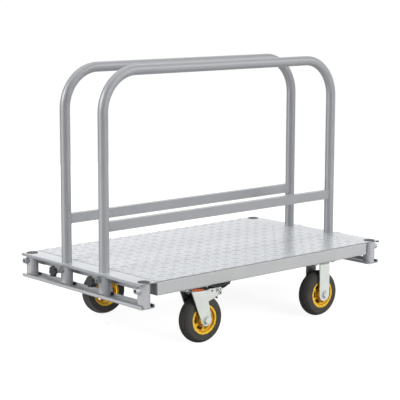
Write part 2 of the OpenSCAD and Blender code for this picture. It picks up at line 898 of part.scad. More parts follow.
socket_plug(front, right);  // front_right_plug
socket_plug(front, left);  // front_left_plug
fixed_fork(right);  // right_fixed_fork
fixed_fork(left);  // left_fixed_fork
fixed_axles();
at_fixed(right) tyre();  // right_fixed_tyre
at_fixed(left) tyre();  // left_fixed_tyre
at_fixed(right) hub();  // right_fixed_hub
at_fixed(left) hub();  // left_fixed_hub
swivel_plate(right);  // right_swivel_plate
swivel_plate(left);  // left_swivel_plate
race_rings();
kingpins();
swivel_balls();
swivel_fork(right);  // right_swivel_fork
swivel_fork(left);  // left_swivel_fork
swivel_axle(right);  // right_swivel_axle
swivel_axle(left);  // left_swivel_axle
at_swivel(right) translate([trail, 0, 0]) tyre();  // right_swivel_tyre
at_swivel(left) translate([trail, 0, 0]) tyre();  // left_swivel_tyre
at_swivel(right) translate([trail, 0, 0]) hub();  // right_swivel_hub
at_swivel(left) translate([trail, 0, 0]) hub();  // left_swivel_hub
brake_bracket(right);  // right_brake_bracket
brake_bracket(left);  // left_brake_bracket
brake_pedal(right);  // right_brake_pedal
brake_pedal(left);  // left_brake_pedal
lock_arm(right);  // right_lock_arm
lock_arm(left);  // left_lock_arm
brake_shoe(right);  // right_brake_shoe
brake_shoe(left);  // left_brake_shoe
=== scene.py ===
# %% [markdown]
# A cart for building boards: a tread deck on four casters, with two tube hoops that stand in sockets.
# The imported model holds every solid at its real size, and this lesson dresses it. It loads the model as a
# fixed frame, adds the forms that a rolling mill, a welder and a thread die leave behind, and gives each
# surface its finish. Nothing of the frame is moved, so everything fits where the frame says.

# %% Load the frame
import json
import math

import bpy
import numpy as np
from mathutils import Matrix, Vector


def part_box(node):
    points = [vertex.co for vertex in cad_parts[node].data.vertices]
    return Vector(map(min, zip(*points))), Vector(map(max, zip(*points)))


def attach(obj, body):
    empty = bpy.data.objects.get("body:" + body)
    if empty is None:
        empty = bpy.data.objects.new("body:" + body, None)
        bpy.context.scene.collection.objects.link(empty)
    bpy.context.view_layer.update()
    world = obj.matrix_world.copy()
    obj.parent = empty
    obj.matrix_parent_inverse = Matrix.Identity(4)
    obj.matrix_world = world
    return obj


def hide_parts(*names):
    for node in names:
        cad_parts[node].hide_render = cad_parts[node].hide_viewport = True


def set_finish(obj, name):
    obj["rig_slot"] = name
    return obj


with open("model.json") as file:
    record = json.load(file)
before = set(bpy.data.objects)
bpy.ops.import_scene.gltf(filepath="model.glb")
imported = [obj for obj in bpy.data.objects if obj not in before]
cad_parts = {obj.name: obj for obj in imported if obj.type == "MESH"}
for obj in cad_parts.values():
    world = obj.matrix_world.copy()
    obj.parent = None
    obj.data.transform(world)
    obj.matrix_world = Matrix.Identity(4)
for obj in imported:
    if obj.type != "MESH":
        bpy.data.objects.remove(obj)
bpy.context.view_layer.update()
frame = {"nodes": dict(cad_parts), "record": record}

MM = 0.001
record = frame["record"]

# %% [markdown]
# The frame gives the places that the added pieces need: the sheet's edges, the axes of the sockets and the
# screws, and the hoops' legs. Reading them from the boxes of the nodes keeps this script in step with the
# solids, so a deck of another length still gets its bars and welds in the right spots.

# %% Places read from the frame
sheet_low, sheet_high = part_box("tread_sheet")
deck_top = sheet_high.z
deck_side = sheet_high.y
tube_low, tube_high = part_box("right_hoop_tube")
tube_r = (tube_high.y - tube_low.y) / 2
leg_x = tube_high.x - tube_r
hoop_y = -(tube_low.y + tube_high.y) / 2
socket_low, socket_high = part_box("front_sockets")
socket_r = (socket_high.x - socket_low.x) / 2
corner_y = socket_high.y - socket_r
bar_low, bar_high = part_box("right_hoop_crossbar")
bar_mid_z = (bar_low.z + bar_high.z) / 2
screw_low, screw_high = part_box("front_left_screw")
screw_z = (screw_low.z + screw_high.z) / 2
screw_r = (screw_high.z - screw_low.z) / 2
SIDES = {"right": -1, "left": 1}
ENDS = {"rear": -1, "front": 1}
print("deck top", round(deck_top, 4), "legs at", round(leg_x, 4), round(hoop_y, 4), "screws at", round(screw_z, 4))

# %% [markdown]
# Every added piece is one surface: rings of points that are carried along a path. Written as arrays, a whole
# row of such tubes is one block of numbers, and the faces follow from the order of the points alone. A ring
# runs round its path's direction by the right hand, so the faces look outwards.


# %% Helpers for swept surfaces
def sweep_faces(tubes, rings, around, closed):
    """Quads between each ring and the next, for a block of tubes. A closed tube also joins its last ring to
    its first, and an open one gets a flat cap at each end."""
    index = np.arange(tubes * rings * around).reshape(tubes, rings, around)
    here = index if closed else index[:, :-1]
    after = np.roll(index, -1, axis=1) if closed else index[:, 1:]
    quads = np.stack([here, np.roll(here, -1, 2), np.roll(after, -1, 2), after], -1).reshape(-1, 4)
    caps = [] if closed else [*index[:, 0, ::-1].tolist(), *index[:, -1].tolist()]
    return quads.tolist() + caps


def swept_piece(name, points, closed, body, slot):
    """Makes one mesh of the points, an array of tubes, rings and points round each ring, and seats it."""
    tubes, rings, around, _ = points.shape
    mesh = bpy.data.meshes.new(name)
    mesh.from_pydata(points.reshape(-1, 3).tolist(), [], sweep_faces(tubes, rings, around, closed))
    mesh.shade_smooth()
    piece = bpy.data.objects.new(name, mesh)
    bpy.context.scene.collection.objects.link(piece)
    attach(piece, body)
    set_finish(piece, slot)
    print(name, "on", body, "has", len(mesh.polygons), "faces")
    return piece


print("faces of an open tube of 3 rings of 4 points:", len(sweep_faces(1, 3, 4, closed=False)))

# %% [markdown]
# The deck is tread sheet: lens-shaped bars stand on it, rolled in two families that cross at right angles.
# Each family fills a grid that lies square to the deck, and the second grid sits in the middle of the first.
# A bump texture would look flat at the low angle at which a deck is seen, so the bars are real. One
# lens is worked out once, then copied to all places by adding arrays. Bars at the edge are cut with the sheet.

# %% Tread bars
BAR_PITCH = (43.3 * MM, 45.0 * MM)
BAR_START = (30.0 * MM, 14.0 * MM)
BAR_HALF_LENGTH = 14.5 * MM
BAR_HALF_WIDTH = 4.6 * MM
BAR_HEIGHT = 0.9 * MM
BAR_SINK = 0.3 * MM
BAR_TIP = 0.12
LENS_POWER, CROWN_POWER = 3, 0.6
BAR_TURN = math.radians(45)
SHEET_MARGIN = 0.4 * MM
EDGE_REACH = BAR_HALF_LENGTH / 3


def tread_lens(stations=9, over=7):
    """Rings along one bar. At a share a from -1 to 1 along it, the bar is 1 - |a|^n full, plus a blunt tip. The
    half-width is W times that, the height is H times a lower power of it, and a ring follows a half cosine across,
    then a flat foot."""
    a = np.linspace(-1, 1, stations)[:, None]
    full = BAR_TIP + (1 - BAR_TIP) * (1 - np.abs(a) ** LENS_POWER)
    b = np.linspace(1, -1, over)[None, :]
    width = BAR_HALF_WIDTH * full
    top = BAR_HEIGHT * full**CROWN_POWER * np.cos(b * math.pi / 2)
    along = np.broadcast_to(a * BAR_HALF_LENGTH, (stations, over))
    crown = np.stack([along, width * b, top], -1)
    foot = crown[:, [-1, 0]] * (1, 1, 0) - (0, 0, BAR_SINK)
    return np.concatenate([crown, foot], axis=1)


def bar_places(shift):
    """Grid points of one family over the sheet, with the grid shifted by a share of its pitch."""
    low, high = (sheet_low.x, sheet_low.y), (sheet_high.x, sheet_high.y)
    lines = []
    for pitch, start, least, most in zip(BAR_PITCH, BAR_START, low, high):
        first = start + shift * pitch
        steps = np.arange(math.floor((least - first) / pitch), math.ceil((most - first) / pitch) + 1)
        lines.append(first + steps * pitch)
    x, y = np.meshgrid(*lines)
    return np.stack([x.ravel(), y.ravel(), np.full(x.size, deck_top)], -1)


def tread_family(turn, shift):
    """One lens turned about Z and copied to the grid points whose bars reach the sheet: each point is the
    turned lens plus its place, held inside the sheet's edges and free upwards."""
    turned = tread_lens() @ np.array(Matrix.Rotation(turn, 3, "Z")).T
    places = bar_places(shift)
    inside = np.all(np.abs(places) < np.abs(np.array(sheet_high)) + EDGE_REACH, axis=1)
    bars = turned[None] + places[inside][:, None, None]
    lowest = np.array(sheet_low) + [SHEET_MARGIN, SHEET_MARGIN, 0]
    highest = np.array([sheet_high.x - SHEET_MARGIN, sheet_high.y - SHEET_MARGIN, np.inf])
    return np.clip(bars, lowest, highest)


families = [tread_family(-BAR_TURN, 0.0), tread_family(BAR_TURN, 0.5)]
print("bars in the two families:", [len(family) for family in families])
swept_piece("tread_bars", np.concatenate(families), False, "cart_frame", "tread_silver")

# %% [markdown]
# The frame and the hoops are welded, and a weld bead is a rope of metal with ripples where the arc moved on.
# A curve with a round bevel would give a smooth rope, so each bead is a swept ring whose radius swells and
# shrinks along the path. It follows the line where two pieces meet, half sunk into both.

# %% A rippled bead
RIPPLE_STEP = 1.6 * MM
RIPPLE_DEPTH = 0.14
BEAD_AROUND = 8


def bead(path, outward, across, radius):
    """Rings round closed paths: p + r(out cos f + across sin f), with r rippling along the path's length.
    Outward and across are the ring's two directions at each point of the path."""
    step = np.linalg.norm(np.roll(path, -1, 1) - path, axis=-1)
    ripples = np.round(step.sum(1, keepdims=True) / RIPPLE_STEP)
    travel = 2 * math.pi * ripples * np.cumsum(step, 1) / step.sum(1, keepdims=True)
    swell = radius * (1 + RIPPLE_DEPTH * np.sin(travel))[..., None, None]
    f = np.linspace(0, 2 * math.pi, BEAD_AROUND, endpoint=False)[:, None]
    ring = outward[..., None, :] * np.cos(f) + across[..., None, :] * np.sin(f)
    return path[..., None, :] + swell * ring


def right_handed(path, outward, across):
    """Turns each path round where needed, so that out x across looks along it and the faces look outwards."""
    along = np.roll(path, -1, 1) - path
    sense = np.sum(np.cross(outward, across) * along, axis=(1, 2))
    wrong_way = sense[:, None, None] < 0
    return tuple(np.where(wrong_way, block[:, ::-1], block) for block in (path, outward, across))


def ring_directions(points):
    """Unit circle in the X-Y plane at even angles."""
    f = np.linspace(0, 2 * math.pi, points, endpoint=False)
    return np.stack([np.cos(f), np.sin(f), np.zeros(points)], -1)


print("ripples round one socket:", round(2 * math.pi * socket_r / RIPPLE_STEP))

# %% [markdown]
# Each socket is a short tube that is welded to the two rails of its end frame, at its foot and at its head. Both
# welds are circles, so one unit circle serves all of them, scaled to the socket and copied to every spot.

# %% Welds round the sockets
SOCKET_BEAD = 2.0 * MM
SOCKET_POINTS = 160
across_deck = [side * y for side in SIDES.values() for y in (hoop_y, corner_y)]
socket_spots = np.array([[end * leg_x, y] for end in ENDS.values() for y in across_deck])


def socket_beads():
    """Circles of the socket's radius, at its foot and its head."""
    out = ring_directions(SOCKET_POINTS)
    spots = np.concatenate([np.insert(socket_spots, 2, z, axis=1) for z in (socket_low.z, socket_high.z)])
    path = spots[:, None] + socket_r * out[None]
    outward = np.broadcast_to(out, path.shape)
    up = np.broadcast_to([0.0, 0.0, 1.0], path.shape)
    rings = bead(*right_handed(path, outward, up), SOCKET_BEAD)
    rings[..., 1] = np.clip(rings[..., 1], -deck_side, deck_side)
    return rings


swept_piece("socket_welds", socket_beads(), True, "cart_frame", "rail_silver")

# %% [markdown]
# A nut for a clamp screw is welded to the outside of each socket. The weld is a circle seen along the screw, but
# the socket curves away under it, so the line is a saddle. Its height over the socket comes from the circle's
# equation, which is exact and needs no search for the nearest point.

# %% Welds round the nuts
NUT_BEAD = 1.3 * MM
NUT_WELD_R = 9.2 * MM
NUT_POINTS = 96


def nut_beads():
    """Circles round the screws' axes, bent over the sockets: x = sqrt(R^2 - dy^2) from the socket's axis."""
    out = ring_directions(NUT_POINTS)[:, [2, 0, 1]]
    ends = np.sign(socket_spots[:, :1])
    dy = NUT_WELD_R * out[:, 1]
    rise = np.sqrt(socket_r**2 - dy**2)
    path = np.stack([
        socket_spots[:, :1] + ends * rise[None],
        socket_spots[:, 1:] + dy[None],
        np.broadcast_to(screw_z + NUT_WELD_R * out[None, :, 2], (len(socket_spots), NUT_POINTS)),
    ], -1)
    outward = np.broadcast_to(out, path.shape)
    across = np.broadcast_to([1.0, 0.0, 0.0], path.shape)
    return bead(*right_handed(path, outward, across), NUT_BEAD)


swept_piece("nut_welds", nut_beads(), True, "cart_frame", "rail_silver")

# %% [markdown]
# A hoop's crossbar butts against its two legs, so its welds are the bar's outline wrapped round a leg. The outline
# is a superellipse, which has the bar's soft corners in one formula, and the wrap is the same circle's equation.

# %% Welds of the crossbars
BAR_BEAD = 1.6 * MM
BAR_POINTS = 120
CORNER_POWER = 10
bar_half = np.array([(bar_high.y - bar_low.y) / 2, (bar_high.z - bar_low.z) / 2])


def rounded_outline(half, points):
    """Outline of a bar's section with soft corners. At an angle f, its reach from the middle is
    (|cos f|^n + |sin f|^n)^(-1/n), in shares of the half sizes."""
    f = np.linspace(0, 2 * math.pi, points, endpoint=False)
    reach = (np.abs(np.cos(f)) ** CORNER_POWER + np.abs(np.sin(f)) ** CORNER_POWER) ** (-1 / CORNER_POWER)
    return np.stack([reach * np.cos(f), reach * np.sin(f)], -1) * half


def crossbar_beads(side):
    """Outlines of the crossbar's ends, bent round the legs: x = leg - sqrt(r^2 - dy^2), on both legs."""
    outline = rounded_outline(bar_half, BAR_POINTS)
    ends = np.array([-1.0, 1.0])[:, None]
    inset = np.sqrt(tube_r**2 - outline[:, 0] ** 2)
    path = np.stack([
        ends * (leg_x - inset)[None],
        np.broadcast_to(side * hoop_y + outline[:, 0], (2, BAR_POINTS)),
        np.broadcast_to(bar_mid_z + outline[:, 1], (2, BAR_POINTS)),
    ], -1)
    out = np.insert(outline / np.linalg.norm(outline, axis=1, keepdims=True), 0, 0, axis=1)
    across = np.broadcast_to([1.0, 0.0, 0.0], path.shape)
    return bead(*right_handed(path, np.broadcast_to(out, path.shape), across), BAR_BEAD)


for side, sign in SIDES.items():
    swept_piece(f"{side}_crossbar_welds", crossbar_beads(sign), True, f"{side}_hoop", "hoop_grey")

# %% [markdown]
# A clamp screw shows its thread between the nut and the knob, and all of it when it is wound out. The frame's
# screw is plain, at the thread's outside diameter. Its stand-in is one surface of revolution whose radius
# falls and rises with the height less the share of a turn, which makes one groove that climbs like a screw.

# %% Threaded clamp screws
THREAD_PITCH = 1.5 * MM
THREAD_DEPTH = 0.75 * MM
THREAD_STEPS = 8
THREAD_AROUND = 32
POINT_SHARE = 0.6
POINT_LENGTH = 2.0 * MM


def threaded_rod(length):
    """Rings up the Z axis. The radius is R - depth x |2 frac(z / pitch - f / 2 pi) - 1|, and the first
    stretch is a plain point of smaller radius."""
    z = np.linspace(0, length, int(length / THREAD_PITCH * THREAD_STEPS))[:, None]
    f = np.linspace(0, 2 * math.pi, THREAD_AROUND, endpoint=False)[None, :]
    wave = np.abs(2 * np.mod(z / THREAD_PITCH - f / (2 * math.pi), 1) - 1)
    r = np.where(z < POINT_LENGTH, screw_r * POINT_SHARE, screw_r - THREAD_DEPTH * wave)
    return np.stack([r * np.cos(f), r * np.sin(f), np.broadcast_to(z, r.shape)], -1)


for end, way in ENDS.items():
    for side in SIDES:
        plain_screw = f"{end}_{side}_screw"
        low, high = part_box(plain_screw)
        tip = low.x if way > 0 else high.x
        rod = threaded_rod(high.x - low.x)
        turned = np.stack([tip + way * rod[..., 2], rod[..., 0] * way, rod[..., 1]], -1)
        turned += [0, (low.y + high.y) / 2, screw_z]
        thread = swept_piece(f"{end}_{side}_thread", turned[None], False, f"{end}_{side}_clamp_screw", "zinc")
        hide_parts(plain_screw)

# %% [markdown]
# The finishes share a few effects, so each is a node group that is built once: mottling, wear along edges, dust
# that settles on faces that look up, painted shade in hollows, and rolled grain. A group gives out masks and normals
# only, and the shader stays in the material. All of them read Object coordinates, which are metres in the
# cart's own frame, so a size given to a group is a real size.


# %% Node helpers
def node(tree, kind, inputs=None, **options):
    """Adds a node, sets its options, and sets or links its inputs, which are named or numbered."""
    made = tree.nodes.new(kind)
    for key, value in options.items():
        setattr(made, key, value)
    for key, value in (inputs or {}).items():
        if isinstance(value, bpy.types.NodeSocket):
            tree.links.new(value, made.inputs[key])
        else:
            made.inputs[key].default_value = value
    return made


def maths(tree, operation, *values):
    """One step of arithmetic on sockets or numbers."""
    return node(tree, "ShaderNodeMath", dict(enumerate(values)), operation=operation).outputs[0]


def span(tree, value, low, high, new_low=0.0, new_high=1.0):
    """Maps low to high onto new_low to new_high, and holds the ends."""
    made = node(tree, "ShaderNodeMapRange", {0: value, 1: low, 2: high, 3: new_low, 4: new_high})
    return made.outputs[0]


def noise_patches(tree, vector, size, detail):
    """Noise about 0.5 with patches of the given size: the scale is one over the size."""
    scale = maths(tree, "DIVIDE", 1.0, size)
    return node(tree, "ShaderNodeTexNoise", {"Vector": vector, "Scale": scale, "Detail": detail}).outputs[0]


def new_group(name, inputs, outputs):
    """An empty group with the named sockets, and its input and output nodes."""
    group = bpy.data.node_groups.new(name, "ShaderNodeTree")
    for label, kind in inputs.items():
        group.interface.new_socket(label, in_out="INPUT", socket_type=kind)
    for label, kind in outputs.items():
        group.interface.new_socket(label, in_out="OUTPUT", socket_type=kind)
    print("group", name, "takes", list(inputs), "and gives", list(outputs))
    return group, group.nodes.new("NodeGroupInput"), group.nodes.new("NodeGroupOutput")


FLOAT, VECTOR = "NodeSocketFloat", "NodeSocketVector"
NOISE_SPAN = (0.3, 0.7)
print("noise mostly lies within", NOISE_SPAN, "so masks spread that over 0 to 1")

# %% [markdown]
# No sprayed or moulded surface is one even colour: it drifts over a hand's width, and its skin is pitted at a
# scale of a few millimetres. Noise gives both, at two sizes, so one group with a size serves for either.


# %% Group: mottling
def build_mottle():
    """Noise with patches of the given size, spread over 0 to 1."""
    group, given, out = new_group("Mottle", {"Vector": VECTOR, "Size": FLOAT}, {"Mask": FLOAT})
    noise = noise_patches(group, given.outputs["Vector"], given.outputs["Size"], 4.0)
    group.links.new(span(group, noise, *NOISE_SPAN), out.inputs["Mask"])
    return group


mottle = build_mottle()

# %% [markdown]
# Edges lose their paint first, and no real edge is as sharp as a solid's. Bevelling every solid would change the
# frame, so a Bevel node rounds the normal alone. Where that normal leaves the face's own, there is an edge, and
# noise breaks the edge up into chips.

# %% Group: edge wear
EDGE_SPAN = (0.995, 0.85)
CHIP_SPAN = (0.5, 0.68)


def build_edge_wear():
    """The normal rounded over the given width, and a mask where its cosine with the face's own normal falls,
    broken up by noise as paint chips and dirt are."""
    group, given, out = new_group(
        "Edge wear", {"Vector": VECTOR, "Width": FLOAT, "Chips": FLOAT}, {"Mask": FLOAT, "Normal": VECTOR})
    soft = node(group, "ShaderNodeBevel", {"Radius": given.outputs["Width"]}, samples=4).outputs[0]
    face = node(group, "ShaderNodeNewGeometry").outputs["Normal"]
    same = node(group, "ShaderNodeVectorMath", {0: soft, 1: face}, operation="DOT_PRODUCT").outputs["Value"]
    edge = span(group, same, *EDGE_SPAN)
    noise = noise_patches(group, given.outputs["Vector"], given.outputs["Chips"], 5.0)
    group.links.new(maths(group, "MULTIPLY", edge, span(group, noise, *CHIP_SPAN)), out.inputs["Mask"])
    group.links.new(soft, out.inputs["Normal"])
    return group


edge_wear = build_edge_wear()

# %% [markdown]
# Dust settles on whatever looks up and lies there in patches. Painting it by hand would need a map for
# each piece, but the upward share of the normal finds those faces by itself.

# %% Group: settled dust
LEVEL_SPAN = (0.2, 0.95)
PATCH_SPAN = (0.35, 0.7)


def build_dust():
    """The upward share of the normal, times patches of the given size."""
    group, given, out = new_group("Dust", {"Vector": VECTOR, "Size": FLOAT}, {"Mask": FLOAT})
    face = node(group, "ShaderNodeNewGeometry").outputs["Normal"]
    up = node(group, "ShaderNodeSeparateXYZ", {0: face}).outputs["Z"]
    noise = noise_patches(group, given.outputs["Vector"], given.outputs["Size"], 6.0)
    settled = maths(group, "MULTIPLY", span(group, up, *LEVEL_SPAN), span(group, noise, *PATCH_SPAN))
    group.links.new(settled, out.inputs["Mask"])
    return group


dust = build_dust()

# %% [markdown]
# Corners and hollows, where little light reaches, are darkened as painted shade. An Ambient Occlusion node measures
# how open a point is within a given distance, so it finds the hollows of any solid, and noise makes their borders
# uneven.

# %% Group: painted shade in recesses
OPEN_SPAN = (0.75, 0.3)
BORDER_SCALE = 60.0
BORDER_SWING = 0.2


def build_hollow_shade():
    """A mask of painted shade, high where walls stand within the given distance: the open share, moved by noise,
    from open to shut.
    """
    group, given, out = new_group("Hollow shade", {"Vector": VECTOR, "Distance": FLOAT}, {"Mask": FLOAT})
    reach = {"Distance": given.outputs["Distance"]}
    # Ambient occlusion finds the corners that are darkened as painted shade.
    open_share = node(group, "ShaderNodeAmbientOcclusion", reach, samples=8).outputs["AO"]
    borders = {"Vector": given.outputs["Vector"], "Scale": BORDER_SCALE, "Detail": 3.0}
    noise = node(group, "ShaderNodeTexNoise", borders).outputs[0]
    centred = maths(group, "SUBTRACT", open_share, BORDER_SWING / 2)
    uneven = maths(group, "MULTIPLY_ADD", noise, BORDER_SWING, centred)
    group.links.new(span(group, uneven, *OPEN_SPAN), out.inputs["Mask"])
    return group


hollow_shade = build_hollow_shade()

# %% [markdown]
# Strip steel keeps fine lines along the way it was rolled. They are noise whose coordinates are counted more
# often across the lines than along them, which draws each patch out into a line.


# %% Group: grain
def build_grain():
    """Noise stretched along one axis: the vector is scaled by the given counts per metre."""
    group, given, out = new_group("Grain", {"Vector": VECTOR, "Counts": VECTOR}, {"Mask": FLOAT})
    factors = {0: given.outputs["Vector"], 1: given.outputs["Counts"]}
    stretched = node(group, "ShaderNodeVectorMath", factors, operation="MULTIPLY").outputs[0]
    noise = node(group, "ShaderNodeTexNoise", {"Vector": stretched, "Scale": 1.0, "Detail": 5.0}).outputs[0]
    group.links.new(span(group, noise, *NOISE_SPAN), out.inputs["Mask"])
    return group


grain = build_grain()

# %% [markdown]
# Each finish is then a short function. A colour is given as it looks on screen, from 0 to 255, and turned
# into the linear light that the shader works in. What is the same all over a surface is set on the shader's own
# sockets, and only what changes over it comes through nodes.

# %% A finish and its common parts
finishes = {}


def screen(*levels):
    """Screen levels 0 to 255 as linear light, by the sRGB curve."""
    share = np.array(levels) / 255
    linear = np.where(share <= 0.04045, share / 12.92, ((share + 0.055) / 1.055) ** 2.4)
    return (*linear.tolist(), 1.0)


def blend_colour(tree, mask, first, second):
    """The first colour where the mask is 0, the second where it is 1."""
    return node(tree, "ShaderNodeMix", {0: mask, 6: first, 7: second}, data_type="RGBA").outputs[2]


def cover(tree, tint, mask, share, colour):
    """Lays a share of a screen colour over the tint where the mask is high."""
    return blend_colour(tree, maths(tree, "MULTIPLY", mask, share), tint, screen(*colour))


def use(tree, group, vector, **values):
    """Places a group in a material with its own values, and gives the group's outputs."""
    return node(tree, "ShaderNodeGroup", {"Vector": vector, **values}, node_tree=group).outputs


def new_finish(slot, **constants):
    """A material for a slot, with its constants set on the shader's own sockets."""
    material = bpy.data.materials.new(slot)
    material.use_nodes = True
    tree = material.node_tree
    shader = tree.nodes["Principled BSDF"]
    for key, value in constants.items():
        shader.inputs[key.replace("_", " ").title().replace("Ior", "IOR")].default_value = value
    finishes[slot] = material
    print("finish", slot, constants)
    return tree, shader, node(tree, "ShaderNodeTexCoord").outputs["Object"]


def connect(tree, shader, colour, roughness):
    """Links a finish's changing colour and roughness to its shader."""
    tree.links.new(colour, shader.inputs["Base Color"])
    tree.links.new(roughness, shader.inputs["Roughness"])


def raise_skin(tree, shader, height, depth, normal):
    """Links a height to the shader as a bump of the given depth, on top of a normal."""
    bump = node(tree, "ShaderNodeBump", {"Strength": 1.0, "Distance": depth, "Height": height, "Normal": normal})
    tree.links.new(bump.outputs[0], shader.inputs["Normal"])


print("screen level 188 is", round(screen(188)[0], 2), "in linear light")

# %% [markdown]
# Silver paint is a clear binder full of metal flake. It is partly metallic, mottled over a hand's width,
# and has the fine orange-peel skin of a sprayed coat. Edges chip to a duller grey, dust dulls what looks up, and
# the insides of the rails and channels are darkened as painted shade. The slopes of the first family of tread bars
# that face the camera are painted darker, as painted shade. A fully metallic shader would mirror the studio, so the
# flake is a share of metal, and roughness follows only the broad mottling, because fine noise there would show as
# specks in the light lines.

# %% Silver paints
DUST_SIZE = 60 * MM
DUST_SHARE, PALE_DUST = 0.06, (196, 192, 184)
PEEL_SIZE = 2.5 * MM
CHIP_SIZE = 6 * MM
CHIP_SHARE, CHIP_GREY = 0.25, (120, 120, 118)
# Share and colour of the painted shade in hollows.
HOLLOW_SHADE_SHARE, HOLLOW_SHADE_GREY = 0.85, (46, 48, 52)
# Way towards the camera, span, share and colour of the painted shade on bar slopes that face it.
CAMERA_FLANK_WAY = (-math.sqrt(0.5), -math.sqrt(0.5), 0.0)
FLANK_SHADE_SPAN = (0.06, 0.25)
FLANK_SHADE_SHARE, FLANK_SHADE_GREY = 0.5, (140, 144, 150)
TINT_SWING = 0.04
GLOSS_SWING = 0.03


def silver_paint(slot, colour, roughness, metallic, mottle_size, peel=0.0, wear_width=0.0, hollow=0.0, shaded_flank=None):
    """Paint that is mottled and dusty. Where a peel and a wear width are given, it has skin and worn edges, where
    a hollow is given, corners up to that deep are darkened as painted shade, and slopes that face the given way
    are darkened as painted shade too."""
    tree, shader, place = new_finish(slot, metallic=metallic, specular_ior_level=0.5)
    patches = use(tree, mottle, place, Size=mottle_size)["Mask"]
    settled = use(tree, dust, place, Size=DUST_SIZE)["Mask"]
    light = [c * (1 + TINT_SWING) for c in screen(*colour)[:3]] + [1.0]
    dark = [c * (1 - TINT_SWING) for c in screen(*colour)[:3]] + [1.0]
    tint = blend_colour(tree, patches, dark, light)
    if wear_width:
        worn = use(tree, edge_wear, place, Width=wear_width, Chips=CHIP_SIZE)
        skin = use(tree, mottle, place, Size=PEEL_SIZE)["Mask"]
        tint = cover(tree, tint, worn["Mask"], CHIP_SHARE, CHIP_GREY)
        raise_skin(tree, shader, skin, peel, worn["Normal"])
    # Hollows are darkened here as painted shade.
    if hollow:
        tint = cover(tree, tint, use(tree, hollow_shade, place, Distance=hollow)["Mask"], HOLLOW_SHADE_SHARE, HOLLOW_SHADE_GREY)
    # Slopes that face the camera are darkened here as painted shade.
    if shaded_flank:
        slope = node(tree, "ShaderNodeTexCoord").outputs["Normal"]
        facing = node(tree, "ShaderNodeVectorMath", {0: slope, 1: shaded_flank}, operation="DOT_PRODUCT").outputs["Value"]
        tint = blend_colour(tree, span(tree, facing, *FLANK_SHADE_SPAN, 0.0, FLANK_SHADE_SHARE), tint, screen(*FLANK_SHADE_GREY))
    tint = cover(tree, tint, settled, DUST_SHARE, PALE_DUST)
    rough = span(tree, patches, 0.0, 1.0, roughness - GLOSS_SWING, roughness + GLOSS_SWING)
    connect(tree, shader, tint, rough)


sprayed = {"peel": 0.01 * MM, "wear_width": 0.8 * MM}
# Slot, colour, roughness, share of metal, and size of the mottling
silver_paint("hoop_grey", (178, 180, 183), 0.3, 0.6, 120 * MM)
silver_paint("rail_silver", (206, 208, 211), 0.36, 0.4, 90 * MM, hollow=12 * MM, **sprayed)
silver_paint("channel_silver", (207, 208, 209), 0.42, 0.35, 110 * MM, hollow=45 * MM, **sprayed)
# The tread's bar slopes that face the camera take painted shade.
silver_paint("tread_silver", (213, 216, 220), 0.26, 0.5, 140 * MM, shaded_flank=CAMERA_FLANK_WAY)

# %% [markdown]
# Zinc plate on pressed steel is pale and faintly green, with fine grain from the rolled strip and cloudy
# patches from the bath. Its edges are rubbed bright, and the forks' hollows are darkened as painted shade. Bare
# steel is darker and smoother, and otherwise alike, so one function makes both.

# %% Plated and bare steel
CLOUD_SIZE = 28 * MM
CLOUD_SWING = 0.07
ROLLED_COUNTS = (900.0, 900.0, 60.0)
ROLLED_DEPTH = 0.02 * MM
RUB_WIDTH, RUB_CHIPS = 0.7 * MM, 5 * MM
RUB_SHARE, RUB_BRIGHT = 0.5, (236, 238, 236)
# Reach, share and colour of the painted shade in hollows.
HOLLOW_SHADE_REACH = 60 * MM
STEEL_SHADE_SHARE, STEEL_SHADE_BLACK = 0.9, (42, 42, 40)


def plated_steel(slot, colour, dark, roughness, metallic):
    """Metal whose colour and roughness swing between two clouds, with grain, rubbed edges and painted shade in
    hollows.
    """
    tree, shader, place = new_finish(slot, metallic=metallic, specular_ior_level=0.5)
    clouds = use(tree, mottle, place, Size=CLOUD_SIZE)["Mask"]
    lines = use(tree, grain, place, Counts=ROLLED_COUNTS)["Mask"]
    worn = use(tree, edge_wear, place, Width=RUB_WIDTH, Chips=RUB_CHIPS)
    shaded_hollows = use(tree, hollow_shade, place, Distance=HOLLOW_SHADE_REACH)["Mask"]
    tint = blend_colour(tree, clouds, screen(*dark), screen(*colour))
    tint = cover(tree, tint, worn["Mask"], RUB_SHARE, RUB_BRIGHT)
    # Hollows are darkened here as painted shade.
    tint = cover(tree, tint, shaded_hollows, STEEL_SHADE_SHARE, STEEL_SHADE_BLACK)
    rough = span(tree, clouds, 0.0, 1.0, roughness - CLOUD_SWING, roughness + CLOUD_SWING)
    connect(tree, shader, tint, rough)
    raise_skin(tree, shader, lines, ROLLED_DEPTH, worn["Normal"])


plated_steel("zinc", (250, 253, 249), (238, 243, 237), roughness=0.36, metallic=0.3)
plated_steel("steel", (150, 152, 154), (118, 120, 122), roughness=0.3, metallic=0.9)

# %% [markdown]
# Rubber, moulded plastic and dark paint are dielectrics, so their colour is in the base and their gloss is
# plain. The tyre is nearly black, with dust rubbed into its skin. The hub is glossy, and its windows are painted
# dark as shade, by a mask of hollows of the right reach. Moulded knobs have a fine spark-eroded grain. They differ
# only in numbers, so one function makes them all.

# %% Rubber, plastic and dark paint
PATCH_SIZE = 35 * MM
SETTLED_SIZE = 30 * MM
SETTLED_GREY = (128, 124, 116)
WORN_WIDTH, WORN_CHIPS = 0.8 * MM, 4 * MM


